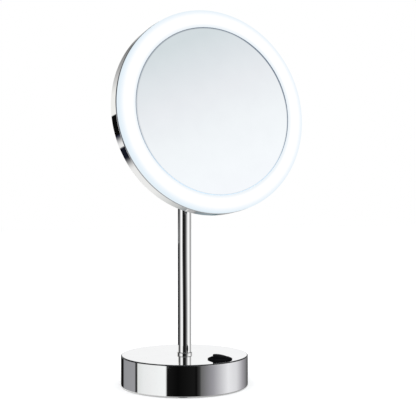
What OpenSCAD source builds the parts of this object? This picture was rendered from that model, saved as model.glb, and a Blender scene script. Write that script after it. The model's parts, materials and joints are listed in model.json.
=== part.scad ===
// Lighted vanity mirror: a round mirror in a ring light, on a chrome post and a round base.
// The mirror faces -Y and Z = 0 is the table. The origin is midway between the head's front and the
// base's back, so the post stands a little behind it.
// The head swivels on top of the post and tilts on a hinge behind the mirror.

/* [Pose] */
// How far the mirror faces upward at rest, in degrees
head_tilt = 6.8; // [-10:0.1:30]
// Angle from the mirror's facing direction to the switch side of the base
front_turn = 22; // [-60:0.1:60]

/* [Base] */
// Outside diameter of the base
base_d = 131; // [130:1:150]
// Height of the base's top face above the table
base_h = 32; // [31:0.5:40]
// Wall thickness of the base shell
base_wall = 2;
// Radius on the top outer edge of the base
base_edge = 1.2;
// Thickness of the steel weight inside the base
ballast_t = 6; // [3:0.5:7]
// Radius on the bottom outer edge of the base
base_foot_edge = 0.8;
// Distance from the post to the middle of the switch
switch_out = 48; // [46:0.5:49]
// Angle from the post's direction to the raised end of the rocker
switch_turn = 45; // [0:5:90]

/* [Post] */
// Outside diameter of the post
stem_d = 13.8;
// Wall thickness of the post
stem_wall = 1.2;
// How far the post stands behind the origin
post_y = 7.75;
// Height of the head's tilt axis above the table
tilt_z = 271.3; // [180:0.1:340]

/* [Head] */
// Distance from the post to the tilt axis
arm = 18;
// Outside diameter of the head
head_d = 200; // [190:1:230]
// Distance from the tilt axis to the front of the light ring
face_out = 52.2;
// Depth of the chrome rim and the light ring together
head_depth = 20;
// Depth of the light ring in front of the rim
lens_depth = 6.8;
// Depth of the domed back behind the rim
dome_depth = 18;
// Diameter of the opening inside the light ring
ring_id = 165.2; // [160:0.2:167]
// Thickness of the mirror glass
glass_t = 3;
// Number of lamps in the light ring
led_count = 36; // [12:6:36]

/* [Hidden] */
$fn = 120;
head_r = head_d / 2;
ring_ir = ring_id / 2;
base_r = base_d / 2;
stem_r = stem_d / 2;
bore_r = stem_r - stem_wall;
shell_ir = base_r - base_wall;

// Heights inside the base
plate_z = 1.6;
plate_t = 2;
floor_z = plate_z + plate_t;
roof_t = 2.2;
roof_z = base_h - roof_t;
ballast_z = roof_z - ballast_t;
foot_r = 5.5;
foot_ring = 57.4;
foot_angles = [30, 150, 221, 324];
post_r = 4;
post_ring = base_r - 8;
post_angles = [12, 168, 232, 308];

// Batteries and their tray
cell_r = 5.2;
cell_len = 43.7;
cell_pitch = 11;
cell_count = 4;
cell_y = 14.5;
cell_z = 9.2;
nub_len = 0.8;
contact_x = 25.4;
contact_t = 0.5;
tray_x = 27.3;
tray_wall = 1.4;
tray_y0 = 7.7;
tray_y1 = 54.3;
tray_top = 16.5;
door_x = 26.5;
door_y0 = 8.6;
door_y1 = 53.4;
door_gap = 0.25;

// Driver board
board_x0 = -48;
board_x1 = -16;
board_y0 = -38;
board_y1 = -16;
board_z = 8;
board_t = 1.6;

// Rocker switch
bezel_r = 12.3;
bezel_t = 2;
bezel_rim = 0.9;
well_r = 9.8;
well_z = base_h - 13;
well_open = 8.9;
rocker_r = 7.9;
rocker_rest = 10;
rocker_z = base_h - 1;
rocker_top = 4.65;
crown_r = 120;

// Post fittings
tie_r = 4;
tie_bore = 2.4;
wire_r = 0.6;
stem_top = tilt_z - 15.5;
plug_flange = 1;
pin_ring = 5.6;
pin_r = 0.6;
washer_t = 0.5;
bolt_r = 3;
bolt_bore = 1.9;

// Swivel housing, measured from the tilt axis
housing_r = 9;
housing_z = tilt_z - 14;
housing_floor = 4;
housing_top = tilt_z + 9;
cavity_r = 7;
tongue_w = 8;
knuckle_r = 8;
axle_r = 3.5;
axle_bore = 1.8;
lead_up = 5.8;
swivel_half = 150;
groove_half = swivel_half + 9;

// Head layers, measured forward from the tilt axis
rim_w = face_out - head_depth;
band_t = 1.4;
band_front = face_out - lens_depth - 0.4;
lip_t = 1.2;
ring_r = head_r - 0.4;
flange_w = rim_w + lip_t;
chassis_w = flange_w + 1.2;
board_w = chassis_w + 2;
led_w = board_w + 1.6;
deck_w = face_out - 10;
deck_t = 3;
glass_w = face_out - 1 - glass_t;
dome_w = rim_w + 1 - dome_depth;
dome_edge = head_r - 4.5;
dome_r = (dome_edge * dome_edge + dome_depth * dome_depth) / (2 * dome_depth);
dome_t = 1.5;
boss_w = dome_w - 1.5;
boss_r = 19;
plate_w = boss_w + 5;
spine_t = 2.5;
led_ring = (ring_ir + 1.7 + head_r - 4) / 2;

ear_x = tongue_w / 2 + 0.6;
ear_t = 4;
flange_t = 3;
screw_ring = 13;
lead_hole_y = 2.5;

// Puts parts drawn round the Z axis on the post's own line
module on_post()
{
    translate([0, post_y, 0]) children();
}

// Puts parts drawn for a base that faces -Y at the base's own angle
module on_base()
{
    on_post() rotate([0, 0, front_turn]) children();
}

// Head parts are drawn with +Z towards the viewer and +Y up the mirror
module in_head()
{
    translate([0, post_y - arm, tilt_z]) rotate([90 - head_tilt, 0, 0]) children();
}

// Lays a cylinder along X, centred
module bar_x(r, len)
{
    rotate([0, 90, 0]) cylinder(r = r, h = len, center = true);
}

// A flat ring that starts at height z
module ring(ro, ri, z, h)
{
    translate([0, 0, z])
        difference() {
            cylinder(r = ro, h = h);
            translate([0, 0, -1]) cylinder(r = ri, h = h + 2);
        }
}

// A box given by its low and high corners
module block(low, high)
{
    translate(low) cube(high - low);
}

// A round lead that runs through the points in order
module lead(points, r)
{
    for (i = [0:len(points) - 2]) {
        step = points[i + 1] - points[i];
        reach = norm(step);
        translate(points[i])
            rotate([0, acos(step[2] / reach), atan2(step[1], step[0])])
                cylinder(r = r, h = reach, $fn = 24);
    }
    if (len(points) > 2)
        for (i = [1:len(points) - 2])
            translate(points[i]) sphere(r = r * 1.12, $fn = 24);
}

module polar(radius, angle)
{
    translate([radius * cos(angle), radius * sin(angle), 0]) children();
}

// ---------- Base ----------

module base_shell()
{
    color("silver")
        on_base()
            difference() {
                union() {
                    difference() {
                        rotate_extrude()
                            union() {
                                translate([0, 1 + base_foot_edge])
                                    square([base_r, base_h - 1 - base_edge - base_foot_edge]);
                                translate([0, 1]) square([base_r - base_edge, base_h - 1]);
                                translate([base_r - base_edge, base_h - base_edge])
                                    circle(r = base_edge, $fn = 48);
                                translate([base_r - base_foot_edge, 1 + base_foot_edge])
                                    circle(r = base_foot_edge, $fn = 48);
                            }
                        cylinder(r = shell_ir, h = roof_z);
                    }
                    for (a = post_angles)
                        polar(post_ring, a)
                            translate([0, 0, floor_z]) cylinder(r = post_r, h = base_h - 1 - floor_z);
                }
                cylinder(r = tie_r + 0.3, h = base_h + 1);
                translate([0, -switch_out, roof_z - 1]) cylinder(r = well_r + 0.2, h = roof_t + 2);
                for (a = post_angles)
                    polar(post_ring, a) translate([0, 0, floor_z - 1]) cylinder(r = 1.4, h = 13);
            }
}

module base_ballast()
{
    color("dimgray")
        on_base()
            difference() {
                translate([0, 0, ballast_z]) cylinder(r = shell_ir - 1, h = ballast_t);
                translate([0, 0, ballast_z - 1]) cylinder(r = tie_r + 0.3, h = ballast_t + 2);
                translate([0, -switch_out, ballast_z - 1]) cylinder(r = well_r + 2, h = ballast_t + 2);
                for (a = post_angles)
                    polar(post_ring, a)
                        translate([0, 0, ballast_z - 1]) cylinder(r = post_r + 0.6, h = ballast_t + 2);
            }
}

module base_plate()
{
    color("black")
        on_base()
            difference() {
                union() {
                    translate([0, 0, plate_z]) cylinder(r = shell_ir - 0.4, h = plate_t);
                    for (x = [board_x0 + 4, board_x1 - 4])
                        translate([x, board_y0 + 4, floor_z - 1]) cylinder(r = 3, h = board_z - floor_z + 1);
                    for (x = [board_x0 + 12, board_x1 - 4])
                        translate([x, board_y1 - 4, floor_z - 1]) cylinder(r = 3, h = board_z - floor_z + 1);
                }
                block([-door_x - door_gap, door_y0 - door_gap, plate_z - 1],
                      [door_x + door_gap, door_y1 + door_gap, plate_z + 1.2]);
                block([-tray_x + tray_wall, tray_y0 + tray_wall, plate_z - 1],
                      [tray_x - tray_wall, tray_y1 - tray_wall, floor_z + 1]);
                translate([0, door_y0 - 3.5, plate_z - 1]) cylinder(r = 1.2, h = 5);
                for (a = post_angles)
                    polar(post_ring, a) {
                        translate([0, 0, plate_z - 1]) cylinder(r = 1.7, h = 5);
                        translate([0, 0, plate_z - 1]) cylinder(r = 3, h = 2);
                    }
                for (x = [board_x0 + 4, board_x1 - 4])
                    translate([x, board_y0 + 4, floor_z - 0.4]) cylinder(r = 1.2, h = 8);
                for (x = [board_x0 + 12, board_x1 - 4])
                    translate([x, board_y1 - 4, floor_z - 0.4]) cylinder(r = 1.2, h = 8);
            }
}

module base_plate_screws()
{
    color("silver")
        on_base()
            for (a = post_angles)
                polar(post_ring, a)
                    difference() {
                        union() {
                            translate([0, 0, plate_z]) cylinder(r = 2.8, h = 1);
                            translate([0, 0, plate_z + 0.5]) cylinder(r = 1.4, h = 11);
                        }
                        block([-0.3, -1.8, plate_z - 1], [0.3, 1.8, plate_z + 0.5]);
                        block([-1.8, -0.3, plate_z - 1], [1.8, 0.3, plate_z + 0.5]);
                    }
}

module rubber_feet()
{
    color("black")
        on_base()
            for (a = foot_angles)
                polar(foot_ring, a)
                    rotate_extrude()
                        union() {
                            square([foot_r, plate_z - 0.5]);
                            translate([0, plate_z - 0.5]) square([foot_r - 0.4, 0.5]);
                        }
}

// ---------- Batteries ----------

module battery_tray()
{
    color("black")
        on_base()
            difference() {
                block([-tray_x, tray_y0, floor_z], [tray_x, tray_y1, tray_top]);
                block([-tray_x + tray_wall, tray_y0 + tray_wall, floor_z - 1],
                      [tray_x - tray_wall, tray_y1 - tray_wall, tray_top - 1.5]);
            }
}

// Draws its child once per cell, turned end for end on every other one
module each_cell()
{
    for (i = [0:cell_count - 1])
        translate([0, cell_y + i * cell_pitch, cell_z])
            rotate([0, 0, i % 2 == 0 ? 0 : 180]) children();
}

module batteries()
{
    color("goldenrod")
        on_base()
            each_cell() {
                union() {
                    bar_x(cell_r, cell_len);
                    translate([-cell_len / 2, 0, 0]) bar_x(1.8, nub_len * 2);
                }
            }
}

module battery_springs()
{
    color("silver")
        on_base()
            each_cell()
                translate([cell_len / 2, 0, 0])
                    rotate([0, 90, 0])
                        linear_extrude(height = contact_x - cell_len / 2, twist = -900, slices = 40, $fn = 8)
                            translate([2.6, 0]) circle(r = 0.4, $fn = 6);
}

module battery_contacts()
{
    color("gainsboro")
        on_base()
            each_cell() {
                block([contact_x, -4.2, -4.5], [contact_x + contact_t, 4.2, 4.5]);
                union() {
                    block([-contact_x - contact_t, -4.2, -4.5], [-contact_x, 4.2, 4.5]);
                    translate([-contact_x - contact_t / 2, 0, 0])
                        rotate([0, 90, 0])
                            cylinder(r = 2.2, h = contact_x + contact_t / 2 - cell_len / 2 - nub_len);
                }
            }
}

module battery_door()
{
    color("black")
        on_base()
            difference() {
                union() {
                    block([-door_x, door_y0, plate_z], [door_x, door_y1, plate_z + 1.1]);
                    translate([0, door_y0 - 3.5, plate_z - 0.8]) cylinder(r = 3.6, h = 0.8);
                    block([-3.6, door_y0 - 3.5, plate_z - 0.8], [3.6, door_y0 + 4, plate_z]);
                }
                translate([0, door_y0 - 3.5, plate_z - 2]) cylinder(r = 1.4, h = 5);
                for (i = [0:5])
                    block([-9, door_y1 - 13 + i * 2, plate_z - 1], [9, door_y1 - 12.2 + i * 2, plate_z + 0.4]);
            }
}

module door_screw()
{
    color("silver")
        on_base()
            translate([0, door_y0 - 3.5, 0])
                difference() {
                    union() {
                        translate([0, 0, plate_z - 1.4]) cylinder(r = 2.4, h = 0.6);
                        translate([0, 0, plate_z - 1]) cylinder(r = 1.15, h = 3.6);
                    }
                    block([-0.25, -1.6, plate_z - 2], [0.25, 1.6, plate_z - 1.1]);
                    block([-1.6, -0.25, plate_z - 2], [1.6, 0.25, plate_z - 1.1]);
                }
}

// ---------- Driver board ----------

module driver_board()
{
    color("seagreen")
        on_base()
            difference() {
                block([board_x0, board_y0, board_z], [board_x1, board_y1, board_z + board_t]);
                block([board_x0 - 1, board_y1 - 8, board_z - 1], [board_x0 + 6, board_y1 + 1, board_z + 3]);
                for (x = [board_x0 + 4, board_x1 - 4])
                    translate([x, board_y0 + 4, board_z - 1]) cylinder(r = 1.4, h = 4);
                for (x = [board_x0 + 12, board_x1 - 4])
                    translate([x, board_y1 - 4, board_z - 1]) cylinder(r = 1.4, h = 4);
            }
}

module board_parts()
{
    color("dimgray")
        on_base()
            translate([board_x0, board_y0, board_z + board_t]) {
                block([8, 6, 0], [13, 11, 1.5]);
                block([16, 12, 0], [20, 16, 1.2]);
                translate([22.5, 9.5, 0]) cylinder(r = 3.2, h = 7);
                translate([17, 5.5, 0]) cylinder(r = 2.5, h = 3.5);
                for (i = [0:3])
                    block([6.5 + i * 2.4, 12.5, 0], [7.7 + i * 2.4, 14.5, 0.6]);
            }
}

module board_screws()
{
    color("silver")
        on_base()
            for (p = [[board_x0 + 4, board_y0 + 4], [board_x1 - 4, board_y0 + 4],
                      [board_x0 + 12, board_y1 - 4], [board_x1 - 4, board_y1 - 4]])
                translate([p[0], p[1], 0]) {
                    translate([0, 0, board_z + board_t]) cylinder(r = 2.4, h = 1.2);
                    translate([0, 0, floor_z]) cylinder(r = 1.2, h = board_z + board_t - floor_z + 0.5);
                }
}

// ---------- Switch ----------

// Puts parts drawn round the rocker's own axis at the switch's place
module at_switch()
{
    on_base() translate([0, -switch_out, 0]) rotate([0, 0, switch_turn]) children();
}

module switch_body()
{
    color("black")
        at_switch()
            difference() {
                union() {
                    translate([0, 0, well_z]) cylinder(r = well_r, h = base_h + 0.5 - well_z);
                    translate([0, 0, base_h]) cylinder(r = bezel_r, h = bezel_rim);
                    translate([0, 0, base_h + bezel_rim])
                        cylinder(r1 = bezel_r, r2 = well_r, h = bezel_t - bezel_rim);
                }
                translate([0, 0, well_z + 2]) cylinder(r = well_open, h = base_h + bezel_t);
                translate([0, 0, rocker_z]) bar_x(1.15, 2 * well_open + 0.9);
                for (y = [-5, 5])
                    block([-2.45, y - 0.45, well_z - 1], [2.45, y + 0.45, well_z + 3]);
            }
}

module switch_terminals()
{
    color("gainsboro")
        at_switch()
            for (y = [-5, 5])
                difference() {
                    block([-2.4, y - 0.4, well_z - 7], [2.4, y + 0.4, well_z + 3]);
                    translate([0, y, well_z - 4.5]) rotate([90, 0, 0]) cylinder(r = 1, h = 3, center = true);
                }
}

// Rests tipped, with one end standing up and the other level with the bezel
module switch_rocker()
{
    color("black")
        at_switch()
            translate([0, 0, rocker_z])
                rotate([rocker_rest, 0, 0])
                    union() {
                        intersection() {
                            translate([0, 0, -0.6]) cylinder(r = rocker_r, h = rocker_top + 2);
                            translate([0, 0, rocker_top - crown_r]) bar_x(crown_r, 4 * rocker_r);
                        }
                        bar_x(3.2, 1.5 * rocker_r);
                        bar_x(1.1, 2 * well_open + 0.7);
                    }
}

// ---------- Leads in the base and post ----------

module base_wires()
{
    x = board_x1 - 1.5;
    over = board_z + board_t + 3.4;
    down = board_z + board_t + 0.05;
    from_switch = well_z - 7.7;
    tab_x = 5 * sin(switch_turn);
    tab_y = 5 * cos(switch_turn);
    color("firebrick")
        on_base() {
            lead([[-tab_x, -switch_out + tab_y, from_switch], [-10, -35, over - 1], [x, -28.4, over],
                  [x, -28.4, down]], wire_r);
            lead([[tab_x, -switch_out - tab_y, from_switch], [-10, -47, over - 2], [-16, -36, over],
                  [x, -30.2, over], [x, -30.2, down]], wire_r);
            lead([[-0.8, 0, 12.3], [-0.8, 0, 9], [-10, -16, 9.5], [x, -24.8, over],
                  [x, -24.8, down]], wire_r);
            lead([[0.8, 0, 12.3], [0.8, 0, 6.4], [-5, -16, 7], [-13.5, -26.6, 6.6],
                  [-13.5, -26.6, over], [x, -26.6, over], [x, -26.6, down]], wire_r);
        }
}

module stem_wires()
{
    color("firebrick")
        on_base()
            for (x = [-0.8, 0.8])
                translate([x, 0, 12.4]) cylinder(r = wire_r, h = tilt_z - 17, $fn = 24);
}

// ---------- Post ----------

module stem_tube()
{
    color("silver") on_post() ring(stem_r, bore_r, base_h, stem_top - base_h);
}

module foot_collar()
{
    collar_r = stem_r + 1;
    color("silver") on_post()
        translate([0, 0, base_h])
            difference() {
                rotate_extrude()
                    union() {
                        square([collar_r, 1.5]);
                        square([collar_r - 0.8, 2.3]);
                        translate([collar_r - 0.8, 1.5]) circle(r = 0.8, $fn = 32);
                    }
                translate([0, 0, -1]) cylinder(r = stem_r + 0.05, h = 5);
            }
}

module foot_plug()
{
    color("goldenrod") on_post() ring(bore_r, tie_r, base_h, 20);
}

module tie_tube()
{
    color("goldenrod") on_post() ring(tie_r, tie_bore, ballast_z - 10, base_h - ballast_z + 26);
}

module tie_washer()
{
    color("silver") on_post() ring(8, tie_r + 0.2, ballast_z - 1.5, 1.5);
}

module tie_nut()
{
    color("silver") on_post()
        translate([0, 0, ballast_z - 8])
            difference() {
                cylinder(r = 7.5, h = 6.5, $fn = 6);
                translate([0, 0, -1]) cylinder(r = tie_r, h = 9);
            }
}

module stem_top_plug()
{
    color("goldenrod") on_post()
        difference() {
            union() {
                translate([0, 0, stem_top - 14]) cylinder(r = bore_r, h = 14.5);
                translate([0, 0, stem_top]) cylinder(r = stem_r, h = plug_flange);
            }
            translate([0, 0, stem_top - 15]) cylinder(r = bolt_r, h = 20);
            rotate([0, 0, 90 + front_turn])
                translate([pin_ring, 0, stem_top - 0.01]) cylinder(r = pin_r, h = 5, $fn = 32);
        }
}

module stop_pin()
{
    color("silver") on_post()
        rotate([0, 0, 90 + front_turn])
            translate([pin_ring, 0, stem_top]) cylinder(r = pin_r, h = 2.8, $fn = 32);
}

// ---------- Swivel ----------

module swivel_washers()
{
    color("ivory")
        on_post() {
        ring(4.7, bolt_r + 0.05, stem_top + plug_flange, washer_t);
        ring(5.5, bolt_r + 0.05, housing_z + housing_floor, washer_t);
    }
}

module swivel_spring()
{
    color("silver") on_post() ring(5.4, bolt_r + 0.05, housing_z + housing_floor + washer_t, 0.5);
}

module swivel_bolt()
{
    head_z = housing_z + housing_floor + 2 * washer_t;
    color("silver") on_post()
        difference() {
            union() {
                translate([0, 0, stem_top - 11]) cylinder(r = bolt_r, h = head_z - stem_top + 12);
                translate([0, 0, head_z]) cylinder(r = 5.8, h = 3, $fn = 6);
            }
            translate([0, 0, stem_top - 12]) cylinder(r = bolt_bore, h = 30);
        }
}

module pivot_housing()
{
    color("silver") on_post()
        difference() {
            union() {
                translate([0, 0, housing_z]) cylinder(r = housing_r, h = housing_top - housing_z);
                block([-tongue_w / 2, -arm, tilt_z - knuckle_r], [tongue_w / 2, -6.5, tilt_z + knuckle_r]);
                translate([0, -arm, tilt_z]) bar_x(knuckle_r, tongue_w);
            }
            translate([0, 0, housing_z + housing_floor])
                cylinder(r = cavity_r, h = housing_top - housing_z);
            translate([0, 0, housing_top - 2]) cylinder(r = cavity_r + 0.6, h = 5);
            translate([0, 0, housing_z - 1]) cylinder(r = bolt_r + 0.06, h = 10);
            translate([0, -arm, tilt_z]) bar_x(axle_r + 0.06, tongue_w + 4);
            translate([0, -6, tilt_z + lead_up]) rotate([90, 0, 0]) cylinder(r = 1.5, h = 30);
            rotate([0, 0, 90 - groove_half])
                rotate_extrude(angle = 2 * groove_half)
                    translate([pin_ring - 0.75, housing_z - 1]) square([1.5, 2.8]);
        }
}

module pivot_cap()
{
    color("silver") on_post()
        union() {
            translate([0, 0, housing_top - 2]) cylinder(r = cavity_r + 0.55, h = 2.5);
            translate([0, 0, housing_top])
                rotate_extrude()
                    union() {
                        square([housing_r, 1]);
                        square([housing_r - 1, 2]);
                        translate([housing_r - 1, 1]) circle(r = 1, $fn = 48);
                    }
        }
}

module pivot_wires()
{
    color("firebrick") on_post()
        for (x = [-0.7, 0.7])
            lead([[x, 0, tilt_z - 4], [x, 0, tilt_z + 4], [x, -5, tilt_z + lead_up],
                  [x, -arm - 5, tilt_z + lead_up]], 0.55);
}

// ---------- Hinge ----------

module hinge_bracket()
{
    color("silver")
        in_head()
            difference() {
                union() {
                    translate([0, 0, boss_w - flange_t]) cylinder(r = 17, h = flange_t);
                    for (s = [-1, 1])
                        translate([s * (ear_x + ear_t / 2), 0, 0]) {
                            bar_x(knuckle_r, ear_t);
                            block([-ear_t / 2, -knuckle_r, 0], [ear_t / 2, knuckle_r, boss_w - 1]);
                        }
                }
                bar_x(axle_r, 40);
                translate([0, lead_hole_y, 3]) cylinder(r = 4, h = 30);
                for (a = [0:90:270])
                    polar(screw_ring, a) translate([0, 0, 5]) cylinder(r = 1.6, h = 20);
            }
}

module tilt_axle()
{
    color("silver")
        in_head()
            difference() {
                union() {
                    bar_x(axle_r, 2 * (ear_x + ear_t) + 10);
                    translate([-ear_x - ear_t - 1.25, 0, 0]) bar_x(6.2, 2.5);
                }
                bar_x(axle_bore, 60);
            }
}

module tilt_nut()
{
    color("silver")
        in_head()
            translate([ear_x + ear_t + 0.8 + 1.6, 0, 0])
                difference() {
                    rotate([0, 90, 0]) cylinder(r = 6.2, h = 3.2, center = true, $fn = 6);
                    bar_x(axle_r, 10);
                }
}

module tilt_spring_washer()
{
    color("dimgray")
        in_head()
            translate([ear_x + ear_t + 0.4, 0, 0])
                difference() {
                    bar_x(6, 0.8);
                    bar_x(axle_r, 2);
                }
}

module tilt_friction_washers()
{
    color("ivory")
        in_head()
            for (s = [-1, 1])
                translate([s * (tongue_w / 2 + 0.3), 0, 0])
                    difference() {
                        bar_x(7, 0.6);
                        bar_x(axle_r, 2);
                    }
}

module bracket_screws()
{
    color("silver")
        in_head()
            for (a = [0:90:270])
                polar(screw_ring, a) {
                    difference() {
                        union() {
                            translate([0, 0, boss_w - flange_t - 1.6]) cylinder(r = 2.8, h = 1.6);
                            translate([0, 0, boss_w - flange_t - 0.5]) cylinder(r = 1.5, h = flange_t + 9);
                        }
                        block([-0.3, -1.8, boss_w - flange_t - 2], [0.3, 1.8, boss_w - flange_t - 0.9]);
                        block([-1.8, -0.3, boss_w - flange_t - 2], [1.8, 0.3, boss_w - flange_t - 0.9]);
                    }
                }
}

// ---------- Head ----------

module rear_cover()
{
    color("silver")
        in_head()
            difference() {
                union() {
                    intersection() {
                        translate([0, 0, dome_w + dome_r])
                            difference() {
                                sphere(r = dome_r, $fn = 240);
                                sphere(r = dome_r - dome_t, $fn = 240);
                            }
                        translate([0, 0, boss_w]) cylinder(r = head_r - 3, h = flange_w + 0.6 - boss_w);
                    }
                    ring(head_r - 1.6, head_r - 8.6, flange_w, 1.2);
                    translate([0, 0, boss_w]) cylinder(r = boss_r, h = 5);
                }
                translate([0, lead_hole_y, boss_w - 1]) cylinder(r = 4, h = 10);
                for (a = [0:90:270])
                    polar(screw_ring, a) translate([0, 0, boss_w - 1]) cylinder(r = 1.6, h = 10);
            }
}

module stiffener_plate()
{
    color("gray")
        in_head()
            difference() {
                translate([0, 0, plate_w]) cylinder(r = 27.5, h = spine_t);
                translate([0, lead_hole_y, plate_w - 1]) cylinder(r = 4, h = 10);
                for (a = [0:90:270])
                    polar(screw_ring, a) translate([0, 0, plate_w - 1]) cylinder(r = 1.5, h = 10);
                for (a = [45:90:315])
                    polar(21, a) translate([0, 0, plate_w - 1]) cylinder(r = 1.5, h = 10);
            }
}

module head_chassis()
{
    rib_in = 23;
    color("white")
        in_head()
            difference() {
                union() {
                    translate([0, 0, deck_w]) cylinder(r = ring_ir + 2, h = deck_t);
                    ring(25, 17, plate_w + spine_t, deck_w - plate_w - spine_t + 0.5);
                    ring(ring_ir + 2, ring_ir + 0.4, chassis_w, deck_w - chassis_w + 0.5);
                    ring(head_r - 4, ring_ir + 0.4, chassis_w, 2);
                    ring(head_r - 4, head_r - 5.6, chassis_w, 9.4);
                    for (a = [22.5:45:360])
                        rotate([0, 0, a])
                            block([rib_in, -0.8, board_w], [ring_ir + 1, 0.8, deck_w + 0.5]);
                }
                for (a = [45:90:315])
                    polar(21, a) {
                        translate([0, 0, plate_w]) cylinder(r = 1.6, h = 40);
                        translate([0, 0, deck_w + 0.5]) cylinder(r = 3, h = 5);
                    }
                for (a = [0:60:300])
                    polar(led_ring, a) translate([0, 0, chassis_w + 0.4]) cylinder(r = 1.1, h = 5);
                translate([0, 10, deck_w - 3]) rotate([-90, 0, 0]) cylinder(r = 2, h = ring_ir - 6);
            }
}

module chassis_screws()
{
    color("silver")
        in_head()
            for (a = [45:90:315])
                polar(21, a) {
                    translate([0, 0, plate_w + 0.2]) cylinder(r = 1.5, h = deck_w - plate_w + 1);
                    translate([0, 0, deck_w + 0.5]) cylinder(r = 2.8, h = 2);
                }
}

module led_board()
{
    color("white")
        in_head()
            difference() {
                ring(head_r - 5.8, ring_ir + 2.2, board_w, 1.6);
                for (a = [0:60:300])
                    polar(led_ring, a) translate([0, 0, board_w - 1]) cylinder(r = 1.3, h = 5);
            }
}

module leds()
{
    step = 360 / led_count;
    color("gold")
        in_head()
            for (i = [0:led_count - 1])
                rotate([0, 0, (i + 0.5) * step])
                    translate([led_ring, 0, led_w])
                        union() {
                            block([-1.4, -1.75, 0], [1.4, 1.75, 1]);
                            cylinder(r = 1.2, h = 1.3, $fn = 24);
                        }
}

module led_board_screws()
{
    color("silver")
        in_head()
            for (a = [0:60:300])
                polar(led_ring, a) {
                    translate([0, 0, chassis_w + 0.4]) cylinder(r = 1.1, h = 3.8);
                    translate([0, 0, led_w]) cylinder(r = 2.2, h = 1.2);
                }
}

module head_wires()
{
    color("firebrick")
        in_head()
            for (x = [-0.7, 0.7])
                lead([[x, 4, 9.6], [x, 4, deck_w - 3], [x, led_ring - 4, deck_w - 3]], 0.55);
}

module wire_connector()
{
    color("ivory")
        in_head()
            difference() {
                block([-3, 40, deck_w - 5.4], [3, 54, deck_w - 0.4]);
                for (x = [-0.7, 0.7])
                    translate([x, 39, deck_w - 3]) rotate([-90, 0, 0]) cylinder(r = 0.6, h = 20, $fn = 24);
            }
}

module mirror_pad()
{
    color("dimgray") in_head() ring(ring_ir - 4, 30, deck_w + deck_t, glass_w - deck_w - deck_t);
}

module mirror_glass()
{
    glass_r = ring_ir - 0.5;
    bevel = 0.6;
    color("lightsteelblue")
        in_head()
            union() {
                translate([0, 0, glass_w]) cylinder(r = glass_r, h = glass_t - bevel);
                translate([0, 0, glass_w + glass_t - bevel])
                    cylinder(r1 = glass_r, r2 = glass_r - bevel, h = bevel);
            }
}

module mirror_seal()
{
    color("darkslategray") in_head() ring(ring_ir - 0.1, ring_ir - 0.45, glass_w, glass_t + 0.2);
}

module diffuser_ring()
{
    outer_edge = 2.5;
    inner_edge = 1.4;
    lens_t = 2.6;
    tongue_w0 = deck_w - 0.5;
    color("white")
        in_head()
            rotate_extrude()
                union() {
                    translate([ring_ir + inner_edge, face_out - lens_t])
                        square([ring_r - outer_edge - ring_ir - inner_edge, lens_t]);
                    translate([ring_ir, deck_w + deck_t])
                        square([2.2, face_out - deck_w - deck_t - inner_edge]);
                    translate([ring_ir + inner_edge, face_out - inner_edge])
                        circle(r = inner_edge, $fn = 48);
                    intersection() {
                        translate([ring_r - outer_edge, face_out - outer_edge])
                            circle(r = outer_edge, $fn = 96);
                        translate([ring_r - outer_edge, face_out - outer_edge])
                            square(outer_edge + 1);
                    }
                    translate([ring_r - outer_edge, face_out - lens_depth])
                        square([outer_edge, lens_depth - outer_edge]);
                    translate([head_r - 3.8, tongue_w0])
                        square([2.1, face_out - outer_edge - tongue_w0]);
                }
}

module rim_band()
{
    color("silver")
        in_head()
            rotate_extrude()
                union() {
                    translate([head_r - band_t, rim_w + 0.5]) square([band_t, band_front - rim_w - 1]);
                    translate([head_r - band_t, rim_w]) square([band_t - 0.5, band_front - rim_w]);
                    translate([head_r - 0.5, rim_w + 0.5]) circle(r = 0.5, $fn = 32);
                    translate([head_r - 0.5, band_front - 0.5]) circle(r = 0.5, $fn = 32);
                    translate([head_r - 3.8, rim_w]) square([3, lip_t]);
                }
}

base_shell();
base_ballast();
base_plate();
base_plate_screws();
rubber_feet();
battery_tray();
batteries();
battery_springs();
battery_contacts();
battery_door();
door_screw();
driver_board();
board_parts();
board_screws();
switch_body();
switch_terminals();
switch_rocker();
base_wires();
stem_wires();
stem_tube();
foot_collar();
foot_plug();
tie_tube();
tie_washer();
tie_nut();
stem_top_plug();
stop_pin();
swivel_washers();
swivel_spring();
swivel_bolt();
pivot_housing();
pivot_cap();
pivot_wires();
hinge_bracket();
tilt_axle();
tilt_nut();
tilt_spring_washer();
tilt_friction_washers();
bracket_screws();
rear_cover();
stiffener_plate();
head_chassis();
chassis_screws();
led_board();
leds();
led_board_screws();
head_wires();
wire_connector();
mirror_pad();
mirror_glass();
mirror_seal();
diffuser_ring();
rim_band();
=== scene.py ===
"""Looks, light and camera for the lighted vanity mirror. Metres, in the frame of the CAD model."""

import json
import math

import bpy
from mathutils import Matrix, Vector


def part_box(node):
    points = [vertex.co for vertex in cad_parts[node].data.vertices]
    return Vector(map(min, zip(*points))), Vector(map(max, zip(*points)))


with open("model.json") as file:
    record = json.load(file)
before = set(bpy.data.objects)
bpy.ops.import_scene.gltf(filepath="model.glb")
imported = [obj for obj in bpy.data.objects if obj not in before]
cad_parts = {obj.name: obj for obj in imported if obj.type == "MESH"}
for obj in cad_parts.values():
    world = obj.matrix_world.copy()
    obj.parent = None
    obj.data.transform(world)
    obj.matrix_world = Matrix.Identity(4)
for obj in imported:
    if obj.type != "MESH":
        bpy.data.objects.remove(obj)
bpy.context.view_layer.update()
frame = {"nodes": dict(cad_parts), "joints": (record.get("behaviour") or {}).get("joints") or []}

NODES = frame["nodes"]
JOINTS = {j["name"]: j for j in frame["joints"]}


def half_width(node):
    """Radius of a round node that faces along Y."""
    low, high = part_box(node)
    return (high.x - low.x) / 2


# The post's foot and the tilt axis. The middle line of the head runs through the tilt axis.
POST = Vector(JOINTS["head_swivel"]["pos_m"]) * Vector((1, 1, 0))
PIVOT = Vector(JOINTS["head_tilt"]["pos_m"])

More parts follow.
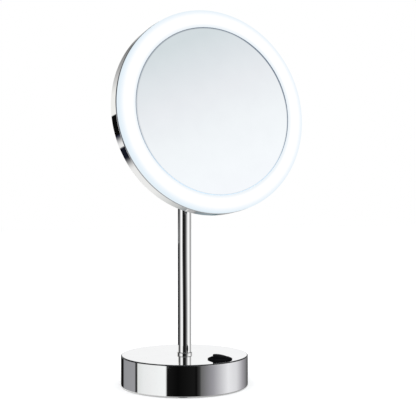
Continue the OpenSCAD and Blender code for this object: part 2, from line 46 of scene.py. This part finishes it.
# The way the mirror faces at rest, and the way up along its face
HEAD_TILT = math.radians(6.8)
FACING = Vector((0, -math.cos(HEAD_TILT), math.sin(HEAD_TILT)))
HEAD_UP = Vector((0, math.sin(HEAD_TILT), math.cos(HEAD_TILT)))

# Radii of the glass and the light ring, and the ring's back edge in front of the tilt axis
GLASS_R = half_width("mirror_glass")
RING_R = half_width("diffuser_ring")
RING_BACK = 0.0454

# The viewing direction of the main camera, level, and the right-hand side seen from it
LOOK = Vector((0.4542, 0.8909, 0))
RIGHT = Vector((LOOK.y, -LOOK.x, 0))


# ---------- Node helpers ----------

def add(nt, kind, inputs=None, **props):
    """A new shader node. Input values can be sockets or plain values."""
    n = nt.nodes.new(kind)
    for key, value in props.items():
        setattr(n, key, value)
    for key, value in (inputs or {}).items():
        if isinstance(value, bpy.types.NodeSocket):
            nt.links.new(value, n.inputs[key])
        else:
            n.inputs[key].default_value = value
    return n


def calc(nt, op, a, b=0.0, clamp=False):
    return add(nt, "ShaderNodeMath", {0: a, 1: b}, operation=op, use_clamp=clamp).outputs[0]


def dot(nt, vector, axis):
    node = add(nt, "ShaderNodeVectorMath", {0: vector, 1: tuple(axis)}, operation="DOT_PRODUCT")
    return node.outputs["Value"]


def less(nt, value):
    """What is left of 1."""
    return calc(nt, "SUBTRACT", 1.0, value)


def ease(nt, value, low, high):
    """0 below low, 1 above high, smooth between."""
    node = add(nt, "ShaderNodeMapRange", {"Value": value, "From Min": low, "From Max": high},
               interpolation_type="SMOOTHSTEP", clamp=True)
    return node.outputs["Result"]


def mix(nt, factor, a, b, blend="MIX"):
    node = add(nt, "ShaderNodeMix", {0: factor, 6: a, 7: b}, data_type="RGBA", blend_type=blend)
    return node.outputs[2]


def grey(v):
    return (v, v, v, 1)


def look_angles(nt, way):
    """Bearing from the camera side, + to the right, and height above level of a direction, in degrees."""
    bearing = calc(nt, "MULTIPLY", calc(nt, "ARCTAN2", dot(nt, way, RIGHT), dot(nt, way, -LOOK)),
                   180 / math.pi)
    height = calc(nt, "MULTIPLY", calc(nt, "ARCSINE", dot(nt, way, (0, 0, 1))), 180 / math.pi)
    return bearing, height


def wall_window(nt, bearing, height, margin=0.0):
    """1 in the part of the surroundings that the mirror shows to the main camera, 0 round it."""
    left = ease(nt, bearing, 42 - margin, 45 - margin)
    right = ease(nt, bearing, 64 + margin, 68 + margin)
    bottom = ease(nt, height, 10.9 - margin, 11.6 - margin)
    top = ease(nt, height, 26 + margin, 29 + margin)
    across = calc(nt, "MULTIPLY", left, less(nt, right))
    upright = calc(nt, "MULTIPLY", bottom, less(nt, top))
    return calc(nt, "MULTIPLY", across, upright)


def ramp(nt, value, stops):
    node = add(nt, "ShaderNodeValToRGB", {"Fac": value})
    stops = [(at, grey(c) if isinstance(c, (int, float)) else (*c, 1)) for at, c in stops]
    elements = node.color_ramp.elements
    elements[0].position, elements[0].color = stops[0]
    elements[1].position, elements[1].color = stops[-1]
    for at, colour in stops[1:-1]:
        elements.new(at).color = colour
    return node.outputs["Color"]


# ---------- Materials ----------

def start(name):
    mat = bpy.data.materials.new(name)
    mat.use_nodes = True
    nt = mat.node_tree
    nt.nodes.clear()
    out = add(nt, "ShaderNodeOutputMaterial")
    coord = add(nt, "ShaderNodeTexCoord")
    return mat, nt, out, coord


def noise(nt, coord, scale, detail=3.0, stretch=(1, 1, 1)):
    mapped = add(nt, "ShaderNodeMapping", {"Vector": coord.outputs["Object"], "Scale": stretch})
    node = add(nt, "ShaderNodeTexNoise", {"Vector": mapped.outputs[0], "Scale": scale, "Detail": detail})
    return node.outputs["Fac"]


def surface(name, colour, metallic=0.0, rough=0.4, spread=0.05, grain=900, wear=90,
            tone=0.06, bump=0.02, depth=0.0002, stretch=(1, 1, 1), coat=0.0, shine=0.5):
    """A principled finish whose colour, roughness and relief all vary: grain is fine, wear is broad."""
    mat, nt, out, coord = start(name)
    fine = noise(nt, coord, grain, 4.0, stretch)
    broad = noise(nt, coord, wear, 3.0)
    dark = tuple(c * (1 - tone) for c in colour)
    light = tuple(min(1.0, c * (1 + tone) + tone * 0.02) for c in colour)
    tint = ramp(nt, broad, [(0.3, dark), (0.7, light)])
    both = calc(nt, "MULTIPLY", calc(nt, "ADD", fine, broad), 0.5)
    roughness = add(nt, "ShaderNodeMapRange", {"Value": both, "From Min": 0.3, "From Max": 0.7,
                                               "To Min": max(0.0, rough - spread),
                                               "To Max": min(1.0, rough + spread)})
    relief = add(nt, "ShaderNodeBump", {"Height": fine, "Strength": bump, "Distance": depth})
    shader = add(nt, "ShaderNodeBsdfPrincipled", {
        "Base Color": tint, "Metallic": metallic, "Roughness": roughness.outputs[0],
        "Normal": relief.outputs[0], "Specular IOR Level": shine,
        "Coat Weight": coat, "Coat Roughness": 0.08})
    nt.links.new(shader.outputs[0], out.inputs["Surface"])
    return mat


def head_place(nt, coord):
    """Distance from the head's middle line, height up its face and distance in front of the tilt axis."""
    local = add(nt, "ShaderNodeVectorMath", {0: coord.outputs["Object"], 1: tuple(PIVOT)},
                operation="SUBTRACT").outputs[0]
    across = dot(nt, local, (1, 0, 0))
    upward = dot(nt, local, HEAD_UP)
    radius = calc(nt, "SQRT", calc(nt, "ADD", calc(nt, "POWER", across, 2.0),
                                   calc(nt, "MULTIPLY", upward, upward)))
    return radius, upward, dot(nt, local, FACING)


def opal_material():
    """Lit opal plastic: white where it faces forward, cooler and dimmer round its edges."""
    mat, nt, out, coord = start("opal_lit")
    forward = dot(nt, coord.outputs["Normal"], FACING)
    radius, upward, depth = head_place(nt, coord)
    mottle = calc(nt, "MULTIPLY", calc(nt, "SUBTRACT", noise(nt, coord, 260, 2.0), 0.5), 0.06)
    fade_w = 0.008
    fall = calc(nt, "DIVIDE", calc(nt, "SUBTRACT", radius, RING_R - fade_w), fade_w, True)
    lost = calc(nt, "MULTIPLY", calc(nt, "POWER", fall, 2.0), 0.62)
    bright = calc(nt, "MINIMUM", forward, less(nt, lost))
    glow = ramp(nt, calc(nt, "ADD", bright, mottle), [
        (0.0, (0.78, 0.87, 0.93)), (0.38, (0.76, 0.86, 0.935)), (0.75, (0.88, 0.93, 0.975)),
        (0.93, (0.985, 0.99, 1.0)), (1.0, (1.0, 1.0, 1.0))])
    inner = ease(nt, radius, GLASS_R + 0.0008, GLASS_R + 0.0045)
    glow = mix(nt, inner, (0.85, 0.90, 0.94, 1), glow)

    # The narrow gap behind the ring shows as a line, darkest at mid height
    gap = ramp(nt, calc(nt, "DIVIDE", calc(nt, "ADD", upward, RING_R), RING_R * 2, True), [
        (0.0, (0.24, 0.26, 0.29)), (0.2, (0.42, 0.44, 0.47)), (0.38, (0.06, 0.07, 0.11)),
        (0.60, (0.07, 0.08, 0.10)), (0.70, (0.34, 0.36, 0.39)), (0.76, (0.34, 0.36, 0.39)),
        (0.80, (0.03, 0.03, 0.04)), (0.875, (0.03, 0.03, 0.04)), (0.92, (0.46, 0.48, 0.51)),
        (1.0, (0.5, 0.52, 0.55))])
    beyond_gap = ease(nt, depth, RING_BACK + 0.0006, RING_BACK + 0.0014)
    glow = mix(nt, beyond_gap, gap, glow)
    emit = add(nt, "ShaderNodeEmission", {"Color": glow, "Strength": 1.02})
    skin = add(nt, "ShaderNodeBump", {"Height": noise(nt, coord, 1500, 3.0), "Strength": 0.03,
                                      "Distance": 0.0001})
    gloss = add(nt, "ShaderNodeBsdfGlossy", {"Roughness": 0.25, "Normal": skin.outputs[0],
                                             "Color": (1, 1, 1, 1)})
    rim = add(nt, "ShaderNodeFresnel", {"IOR": 1.3})
    skin_amount = calc(nt, "MULTIPLY", rim.outputs[0], 0.2)
    shader = add(nt, "ShaderNodeMixShader", {0: skin_amount, 1: emit.outputs[0], 2: gloss.outputs[0]})
    nt.links.new(shader.outputs[0], out.inputs["Surface"])
    return mat


def seal_material():
    """Clear-grey sealant round the glass. The light ring shines through it more towards the bottom."""
    mat, nt, out, coord = start("edge_seal")
    upward = head_place(nt, coord)[1]
    level = calc(nt, "DIVIDE", upward, GLASS_R)
    streak = calc(nt, "MULTIPLY", calc(nt, "SUBTRACT", noise(nt, coord, 400, 3.0), 0.5), 0.25)
    shade = ease(nt, calc(nt, "ADD", level, streak), -0.9, -0.15)
    tone = mix(nt, shade, (0.52, 0.70, 0.86, 1), (0.16, 0.22, 0.30, 1))
    lit = calc(nt, "MULTIPLY", less(nt, shade), 0.25)
    relief = add(nt, "ShaderNodeBump", {"Height": noise(nt, coord, 2200, 2.0), "Strength": 0.05,
                                        "Distance": 0.0001})
    rough = calc(nt, "ADD", calc(nt, "MULTIPLY", noise(nt, coord, 900, 2.0), 0.2), 0.35)
    shader = add(nt, "ShaderNodeBsdfPrincipled", {
        "Base Color": tone, "Roughness": rough, "Normal": relief.outputs[0],
        "Emission Color": tone, "Emission Strength": lit})
    nt.links.new(shader.outputs[0], out.inputs["Surface"])
    return mat


def mirror_material():
    """Silvered glass with faint haze and dust. Away from the main view it shows a plain pale room."""
    mat, nt, out, coord = start("silvered_glass")
    haze = noise(nt, coord, 60, 4.0)
    dust = noise(nt, coord, 2600, 2.0)
    tint = ramp(nt, haze, [(0.3, (0.975, 0.972, 0.978)), (0.7, (0.992, 0.99, 0.994))])

    # The bevel round the glass shows the seal behind it, most at the upper right
    radius, upward = head_place(nt, coord)[:2]
    across = dot(nt, coord.outputs["Object"], (1, 0, 0))
    towards = calc(nt, "ADD", calc(nt, "MULTIPLY", across, 0.8 / GLASS_R),
                   calc(nt, "MULTIPLY", upward, 0.6 / GLASS_R))
    strongest = calc(nt, "MULTIPLY", ease(nt, towards, 0.80, 0.97), 0.7)
    not_low = ease(nt, calc(nt, "DIVIDE", upward, GLASS_R), -0.7, -0.2)
    amount = calc(nt, "MULTIPLY", calc(nt, "ADD", strongest, 0.28), not_low)
    edge = ease(nt, radius, GLASS_R - 0.0014, GLASS_R - 0.0008)
    tint = mix(nt, calc(nt, "MULTIPLY", edge, amount), tint, (0.10, 0.15, 0.23, 1))

    speck = calc(nt, "MULTIPLY", ease(nt, dust, 0.74, 0.80), 0.12)
    roughness = calc(nt, "ADD", calc(nt, "MULTIPLY", haze, 0.012), speck)
    silver = add(nt, "ShaderNodeBsdfPrincipled", {"Base Color": tint, "Metallic": 1.0,
                                                  "Roughness": roughness})
    bearing, height = look_angles(nt, coord.outputs["Reflection"])
    room = ramp(nt, calc(nt, "DIVIDE", calc(nt, "ADD", height, 40.0), 100.0, True), [
        (0.0, (0.80, 0.81, 0.82)), (0.4, (0.86, 0.87, 0.88)), (0.7, (0.62, 0.65, 0.67)),
        (1.0, (0.44, 0.46, 0.48))])
    pale = add(nt, "ShaderNodeEmission", {"Color": room})
    away = calc(nt, "MULTIPLY", less(nt, wall_window(nt, bearing, height, 3.0)), 0.8)
    shader = add(nt, "ShaderNodeMixShader", {0: away, 1: silver.outputs[0], 2: pale.outputs[0]})
    nt.links.new(shader.outputs[0], out.inputs["Surface"])
    return mat


def lamp_material():
    mat, nt, out, coord = start("lamp_resin")
    glow = mix(nt, noise(nt, coord, 1800, 2.0), (1.0, 0.97, 0.85, 1), (0.9, 0.96, 1.0, 1))
    shader = add(nt, "ShaderNodeBsdfPrincipled", {"Base Color": (0.95, 0.9, 0.6, 1), "Roughness": 0.3,
                                                  "Emission Color": glow, "Emission Strength": 3.0})
    nt.links.new(shader.outputs[0], out.inputs["Surface"])
    return mat


def pale_top(mat):
    """A dark line along the rounded top edge. From above, the flat top shows a plain pale ceiling too."""
    nt = mat.node_tree
    out = next(n for n in nt.nodes if n.type == "OUTPUT_MATERIAL")
    metal = out.inputs["Surface"].links[0].from_socket
    coord = add(nt, "ShaderNodeTexCoord")
    bearing, height = look_angles(nt, coord.outputs["Reflection"])
    behind = ease(nt, calc(nt, "ABSOLUTE", bearing), 150, 165)
    main_view = calc(nt, "MULTIPLY", behind, less(nt, ease(nt, height, 15, 20)))
    upright = dot(nt, coord.outputs["Normal"], (0, 0, 1))
    flat = ease(nt, upright, 0.985, 0.999)
    rounding = calc(nt, "MULTIPLY", ease(nt, upright, 0.05, 0.2), less(nt, ease(nt, upright, 0.95, 0.99)))
    dark = add(nt, "ShaderNodeBsdfDiffuse", {"Color": (0.012, 0.013, 0.015, 1)})
    lined = add(nt, "ShaderNodeMixShader", {0: calc(nt, "MULTIPLY", rounding, 0.85), 1: metal,
                                            2: dark.outputs[0]})
    path = add(nt, "ShaderNodeLightPath")
    seen = calc(nt, "MULTIPLY", path.outputs["Is Camera Ray"], 0.6)
    share = calc(nt, "MULTIPLY", less(nt, main_view), calc(nt, "MULTIPLY", flat, seen))
    ceiling = mix(nt, noise(nt, coord, 8, 2.0), (0.66, 0.67, 0.68, 1), (0.80, 0.81, 0.82, 1))
    pale = add(nt, "ShaderNodeEmission", {"Color": ceiling})
    shader = add(nt, "ShaderNodeMixShader", {0: share, 1: lined.outputs[0], 2: pale.outputs[0]})
    nt.links.new(shader.outputs[0], out.inputs["Surface"])
    return mat


# Each finish: colour, metallic, roughness and its spread, grain and wear scale, tone change, relief
CHROME = ((0.95, 0.95, 0.95), 1.0, 0.03, 0.02, 1400, 45, 0.015, 0.004)
chrome = surface("chrome", *CHROME)
chrome_base = pale_top(surface("chrome_base", *CHROME))
chrome_cast = surface("chrome_cast", (0.88, 0.89, 0.90), 1.0, 0.07, 0.03, 1200, 60, 0.02, 0.02)
steel = surface("zinc_steel", (0.56, 0.57, 0.59), 1.0, 0.32, 0.08, 2200, 260, 0.08, 0.08,
                stretch=(1, 1, 6))
ballast_paint = surface("ballast_paint", (0.05, 0.05, 0.055), 0.0, 0.5, 0.1, 900, 60, 0.2, 0.25)
black = surface("black_matte", (0.022, 0.022, 0.024), 0.0, 0.52, 0.08, 2400, 120, 0.12, 0.22)
switch_black = surface("switch_black", (0.006, 0.006, 0.007), 0.0, 0.42, 0.08, 3200, 180, 0.12, 0.10,
                       shine=0.001)
rubber = surface("rubber", (0.03, 0.03, 0.03), 0.0, 0.8, 0.08, 2600, 200, 0.15, 0.3)
white_plastic = surface("white_plastic", (0.86, 0.86, 0.84), 0.0, 0.45, 0.08, 1500, 80, 0.03, 0.08)
nylon = surface("nylon", (0.80, 0.78, 0.70), 0.0, 0.5, 0.08, 1800, 160, 0.05, 0.08)
foam = surface("foam_tape", (0.09, 0.09, 0.10), 0.0, 0.9, 0.05, 3000, 300, 0.2, 0.5)
brass = surface("turned_brass", (0.72, 0.54, 0.26), 1.0, 0.25, 0.08, 2000, 200, 0.08, 0.08,
                stretch=(1, 1, 8))
board_white = surface("board_white", (0.86, 0.88, 0.86), 0.0, 0.35, 0.06, 1600, 120, 0.03, 0.05)
board_green = surface("board_green", (0.03, 0.22, 0.10), 0.0, 0.3, 0.06, 1600, 140, 0.12, 0.08)
parts = surface("moulded_parts", (0.05, 0.05, 0.055), 0.0, 0.45, 0.08, 2600, 220, 0.15, 0.1)
wire = surface("wire_red", (0.42, 0.03, 0.025), 0.0, 0.35, 0.08, 1800, 160, 0.1, 0.05)
sleeve = surface("cell_sleeve", (0.48, 0.33, 0.12), 0.7, 0.3, 0.08, 1200, 120, 0.1, 0.04)

LOOKS = {
    "base_shell": chrome_base, "stem_tube": chrome, "foot_collar": chrome, "rim_band": chrome,
    "rear_cover": chrome, "pivot_cap": chrome, "pivot_housing": chrome_cast, "hinge_bracket": chrome_cast,
    "tilt_axle": chrome, "tilt_nut": chrome, "base_ballast": ballast_paint, "base_plate": black,
    "battery_tray": black, "battery_door": black, "switch_body": switch_black,
    "switch_rocker": switch_black, "rubber_feet": rubber, "mirror_pad": foam,
    "mirror_seal": seal_material(), "mirror_glass": mirror_material(), "diffuser_ring": opal_material(),
    "leds": lamp_material(),
    "head_chassis": white_plastic, "led_board": board_white, "driver_board": board_green,
    "board_parts": parts, "base_wires": wire, "stem_wires": wire, "pivot_wires": wire, "head_wires": wire,
    "batteries": sleeve, "wire_connector": nylon, "swivel_washers": nylon, "tilt_friction_washers": nylon,
    "foot_plug": brass, "tie_tube": brass, "stem_top_plug": brass, "switch_terminals": brass,
}
for name, obj in NODES.items():
    obj.data.materials.clear()
    obj.data.materials.append(LOOKS.get(name, steel))


def soften(name, width, segments=3):
    """Rounds a node's sharp edges a little, as moulding or tumbling leaves them."""
    obj = NODES[name]
    weld = obj.modifiers.new("weld", "WELD")
    weld.merge_threshold = 1e-6
    bevel = obj.modifiers.new("soft_edges", "BEVEL")
    bevel.width = width
    bevel.segments = segments
    bevel.limit_method = "ANGLE"
    bevel.angle_limit = math.radians(32)
    bevel.harden_normals = True


soften("switch_body", 0.0005)
soften("switch_rocker", 0.0009, 4)


# ---------- Stage: pale floor, studio surroundings, camera ----------

def floor():
    mesh = bpy.data.meshes.new("floor")
    half = 6.0
    mesh.from_pydata([(-half, -half, 0), (half, -half, 0), (half, half, 0), (-half, half, 0)], [],
                     [(0, 1, 2, 3)])
    obj = bpy.data.objects.new("floor", mesh)
    bpy.context.scene.collection.objects.link(obj)
    mat, nt, out, coord = start("floor_paper")
    paper = noise(nt, coord, 30, 3.0)
    tone = mix(nt, paper, (0.93, 0.93, 0.93, 1), (0.95, 0.95, 0.95, 1))
    diffuse = add(nt, "ShaderNodeBsdfDiffuse", {"Color": tone})
    lift = add(nt, "ShaderNodeEmission", {"Color": (1, 1, 1, 1), "Strength": 0.35})
    shader = add(nt, "ShaderNodeAddShader", {0: diffuse.outputs[0], 1: lift.outputs[0]})
    nt.links.new(shader.outputs[0], out.inputs["Surface"])
    obj.data.materials.append(mat)
    obj.visible_glossy = False
    return obj


# What polished surfaces see, in degrees. Bearings run from the camera side (0), + to the right. Each band
# holds from its own height up to the next one's: (from height, soft edge, [(bearing, colour), ...]).
BANDS = [
    # far below: seen by the underside of the rim
    (-90, 0, [(-180, (0.30, 0.34, 0.36)), (-175, (0.22, 0.25, 0.26)), (-171.5, (0.30, 0.32, 0.33)),
              (-167, (0.56, 0.57, 0.56)), (-160, (0.70, 0.71, 0.70)), (-150, (0.86, 0.86, 0.85)),
              (-136, (0.86, 0.86, 0.85)), (-60, 0.5), (60, 0.5), (172, 0.30), (180, (0.30, 0.33, 0.36))]),
    (-21, 6.0, [(-180, (0.28, 0.34, 0.37)), (-172, (0.20, 0.23, 0.25)), (-150, 0.10),
                (-134, (0.008, 0.010, 0.02)), (-120, 0.01), (120, 0.01), (172, 0.10),
                (180, (0.28, 0.34, 0.37))]),
    # below the table: seen by the side of the base
    (-13.3, 0.4, [(-180, 0.006), (-143, 0.006), (-139.5, (0.29, 0.295, 0.31)),
                  (-98, (0.325, 0.325, 0.34)), (-96.5, 0.02), (-92.5, 0.02), (-90.5, (0.75, 0.77, 0.76)),
                  (-76, (0.85, 0.865, 0.865)), (-60, (0.89, 0.90, 0.90)), (-32, (0.94, 0.96, 0.96)),
                  (-29.5, 0.008), (-10, 0.003), (19, 0.009), (22.5, 0.003), (25.5, 0.022), (29, 0.045),
                  (31, 0.13), (54, (0.34, 0.335, 0.36)), (86, (0.82, 0.82, 0.84)),
                  (108, (0.72, 0.72, 0.74)), (130, (0.37, 0.36, 0.385)), (157, 0.12), (168, 0.06),
                  (176, 0.06), (180, (0.16, 0.25, 0.28))]),
    # level: seen by the post, lower part first
    (-9.7, 0.3, [(-180, 0.003), (-118, 0.004), (-98, 0.05), (-78, 0.36), (-60, 0.92), (-30, 0.98),
                 (-24, 0.02), (-10, 0.005), (8, 0.006), (17, 0.02), (35, 0.13), (54, 0.60), (68, 0.98),
                 (84, 1.0), (100, 0.72), (124, 0.36), (180, 0.36)]),
    (-5, 6.0, [(-180, 0.003), (-112, 0.004), (-98, 0.07), (-82, 0.42), (-62, 1.0), (-42, 1.0),
               (-33, 0.02), (-10, 0.008), (4, 0.015), (17, 0.06), (30, 0.22), (40, 0.46), (54, 0.86),
               (64, 1.0), (80, 1.0), (93, 0.72), (112, 0.40), (180, 0.38)]),
    # a little up: seen by the top of the base and the left of the rim
    (3.2, 0.6, [(-180, (0.94, 0.945, 0.95)), (-165, (0.92, 0.92, 0.92)), (-128, (0.90, 0.90, 0.87)),
                (-122, 0.006), (-98, 0.05), (-78, 0.38), (-60, 0.94), (-34, 0.98), (-26, 0.02),
                (-10, 0.005), (17, 0.02), (35, 0.14), (54, 0.62), (68, 0.98), (84, 1.0), (100, 0.72),
                (124, 0.38), (150, 0.40), (165, (0.94, 0.945, 0.95)), (180, (0.94, 0.945, 0.95))]),
    (15.5, 9.0, [(-180, 0.55), (-170, 0.34), (-163, 0.19), (-156.5, 0.28), (-150, 0.375), (-144.5, 0.46),
                 (-135, 0.52), (-100, 0.05), (100, 0.04), (160, 0.20), (180, 0.55)]),
    (26, 6.0, [(-180, 0.05), (40, 0.04), (80, 0.10), (130, 0.10), (180, 0.05)]),
    (62, 8.0, [(-180, (0.24, 0.25, 0.26)), (180, (0.24, 0.25, 0.26))]),
]


def surroundings():
    """A plain bright room for soft light, with dark and light cards that only reflections see."""
    world = bpy.data.worlds.new("studio")
    bpy.context.scene.world = world
    world.use_nodes = True
    nt = world.node_tree
    nt.nodes.clear()
    out = add(nt, "ShaderNodeOutputWorld")
    coord = add(nt, "ShaderNodeTexCoord")
    bearing, height = look_angles(nt, coord.outputs["Generated"])
    round_trip = calc(nt, "DIVIDE", calc(nt, "ADD", bearing, 180.0), 360.0, True)

    colour = None
    for low, soft, stops in BANDS:
        band = ramp(nt, round_trip, [((at + 180) / 360, tone) for at, tone in stops])
        above = None if colour is None else ease(nt, height, low - soft / 2, low + soft / 2)
        colour = band if colour is None else mix(nt, above, colour, band)

    # The mirror sees a plain wall that darkens a little towards its top left
    drift = calc(nt, "MULTIPLY", calc(nt, "SUBTRACT", bearing, 54.0), 0.24)
    slanted = calc(nt, "SUBTRACT", height, drift)
    wall = ramp(nt, calc(nt, "DIVIDE", calc(nt, "SUBTRACT", slanted, 12.0), 11.0, True), [
        (0.0, (0.936, 0.965, 0.996)), (0.20, (0.928, 0.965, 0.987)), (0.42, (0.894, 0.931, 0.952)),
        (0.66, (0.822, 0.852, 0.880)), (0.85, (0.738, 0.785, 0.813)), (1.0, (0.660, 0.725, 0.748))])
    colour = mix(nt, wall_window(nt, bearing, height), colour, wall)

    path = add(nt, "ShaderNodeLightPath")
    plain = mix(nt, path.outputs["Is Camera Ray"], (0.72, 0.73, 0.74, 1), (1, 1, 1, 1))
    seen = mix(nt, path.outputs["Is Glossy Ray"], plain, colour)
    background = add(nt, "ShaderNodeBackground", {"Color": seen, "Strength": 1.0})
    nt.links.new(background.outputs[0], out.inputs["Surface"])


def rim_card():
    """A small card behind the left of the head, dark at its top and white at its foot, for the rim."""
    middle = Vector((-0.294, 0.395, 0.160))
    half_w, half_h = 0.035, 0.033
    across = Vector((middle.y, -middle.x, 0)).normalized()
    corners = [middle + across * sx * half_w + Vector((0, 0, sz * half_h))
               for sx, sz in ((-1, -1), (1, -1), (1, 1), (-1, 1))]
    mesh = bpy.data.meshes.new("rim_card")
    mesh.from_pydata(corners, [], [(0, 1, 2, 3)])
    obj = bpy.data.objects.new("rim_card", mesh)
    bpy.context.scene.collection.objects.link(obj)
    mat, nt, out, coord = start("card_fade")
    level = dot(nt, coord.outputs["Object"], (0, 0, 1))
    fade = ease(nt, level, middle.z + half_h, middle.z - half_h * 0.7)
    tone = mix(nt, fade, (0.01, 0.012, 0.03, 1), (0.86, 0.86, 0.86, 1))
    emit = add(nt, "ShaderNodeEmission", {"Color": tone})
    nt.links.new(emit.outputs[0], out.inputs["Surface"])
    obj.data.materials.append(mat)
    obj.visible_camera = obj.visible_diffuse = obj.visible_shadow = False


def soft_light(name, where, towards, size, power):
    data = bpy.data.lights.new(name, "AREA")
    data.shape = "DISK"
    data.size = size
    data.energy = power
    obj = bpy.data.objects.new(name, data)
    bpy.context.scene.collection.objects.link(obj)
    obj.location = where
    obj.rotation_euler = (Vector(towards) - Vector(where)).to_track_quat("-Z", "Y").to_euler()
    obj.visible_glossy = False


def camera():
    """Level, in front and to the left of the mirror, at mid height."""
    distance, sideways, eye, focal = 0.9016, 0.0243, 0.1832, 75.3
    data = bpy.data.cameras.new("camera")
    data.sensor_width = 36
    data.lens = focal
    obj = bpy.data.objects.new("camera", data)
    bpy.context.scene.collection.objects.link(obj)
    obj.location = POST - LOOK * distance + RIGHT * sideways + Vector((0, 0, eye))
    obj.rotation_euler = LOOK.to_track_quat("-Z", "Y").to_euler()
    bpy.context.scene.camera = obj


floor()
surroundings()
rim_card()
soft_light("overhead", where=(-0.2, -0.5, 1.4), towards=(0, 0, 0.1), size=1.2, power=6)
camera()
bpy.context.scene.view_settings.view_transform = "Standard"
